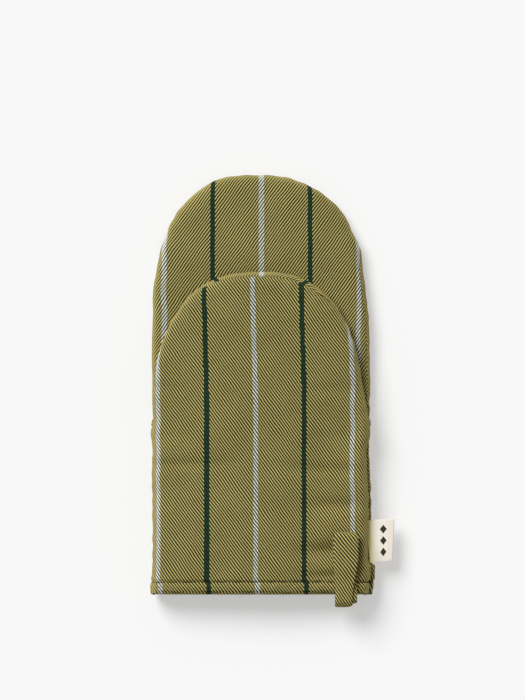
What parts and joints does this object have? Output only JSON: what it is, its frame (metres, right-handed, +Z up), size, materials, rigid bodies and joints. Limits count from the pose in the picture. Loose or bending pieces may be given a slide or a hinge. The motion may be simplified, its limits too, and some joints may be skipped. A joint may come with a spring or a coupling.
{
  "type": "oven mitt",
  "caption": "Quilted oven mitt: a long finger pouch and a shorter thumb pouch open like a mouth from a shared cuff, with a hanging loop and a blank side label.",
  "frame": {"origin": "centre of the cuff's back, on the face the mitt rests on", "axes": "+Y from the cuff to the finger tip, +Z up from the back to the thumb pouch, +X towards the label's seam"},
  "size_m": [0.1745, 0.309, 0.0374],
  "materials": {
    "twill": "matt two-tone cotton twill with narrow white and green stripes",
    "loop_twill": "matt two-tone cotton twill",
    "wadding": "matt fibre wadding",
    "lining": "matt plain cotton",
    "thread": "matt sewing thread",
    "label": "smooth woven ribbon"
  },
  "bodies": {
    "cuff": {"front_shell_cuff": "twill", "front_wadding_cuff": "wadding", "front_lining_cuff": "lining", "back_shell_cuff": "twill", "back_wadding_cuff": "wadding", "back_lining_cuff": "lining", "front_shell_flex": "twill", "front_wadding_flex": "wadding", "front_lining_flex": "lining", "back_shell_flex": "twill", "back_wadding_flex": "wadding", "back_lining_flex": "lining", "mouth_fold_shell": "twill", "mouth_fold_wadding": "wadding", "mouth_fold_lining": "lining", "cuff_topstitch": "thread", "cuff_edge_stitch": "thread", "left_seam_thread": "thread", "right_seam_thread": "thread", "loop_tail": "loop_twill", "loop_tack": "thread", "loop_bend": "loop_twill", "label_tail": "label", "label_fold": "label"},
    "finger_pouch": {"back_shell_finger": "twill", "back_wadding_finger": "wadding", "back_lining_finger": "lining", "finger_palm_shell": "twill", "finger_palm_wadding": "wadding", "finger_palm_lining": "lining", "finger_seam_thread": "thread"},
    "thumb_pouch": {"front_shell_thumb": "twill", "front_wadding_thumb": "wadding", "front_lining_thumb": "lining", "thumb_palm_shell": "twill", "thumb_palm_wadding": "wadding", "thumb_palm_lining": "lining", "thumb_seam_thread": "thread"},
    "hanging_loop": {"hanging_loop": "loop_twill"},
    "label": {"label_tab": "label"}
  },
  "joints": [
    {"name": "thumb_pouch", "type": "hinge", "parent": "cuff", "child": "thumb_pouch", "pos_m": [0, 0.061, 0.0142], "axis": [1, 0, 0], "range_deg": [0, 60], "deforming": ["front_shell_flex", "front_wadding_flex", "front_lining_flex", "mouth_fold_shell", "mouth_fold_wadding", "mouth_fold_lining"]},
    {"name": "finger_pouch", "type": "hinge", "parent": "cuff", "child": "finger_pouch", "pos_m": [0, 0.061, 0.0142], "axis": [1, 0, 0], "range_deg": [-30, 0], "deforming": ["back_shell_flex", "back_wadding_flex", "back_lining_flex"]},
    {"name": "hanging_loop", "type": "hinge", "parent": "cuff", "child": "hanging_loop", "pos_m": [0.0605, -0.0631, 0.0259], "axis": [1, 0, 0], "range_deg": [0, 175], "deforming": ["loop_bend"]},
    {"name": "label", "type": "hinge", "parent": "cuff", "child": "label", "pos_m": [0.0798, -0.023, 0.0142], "axis": [0, 1, 0], "range_deg": [-60, 60], "stiffness_Nm_per_rad": 0.0002, "deforming": ["label_fold"]}
  ]
}
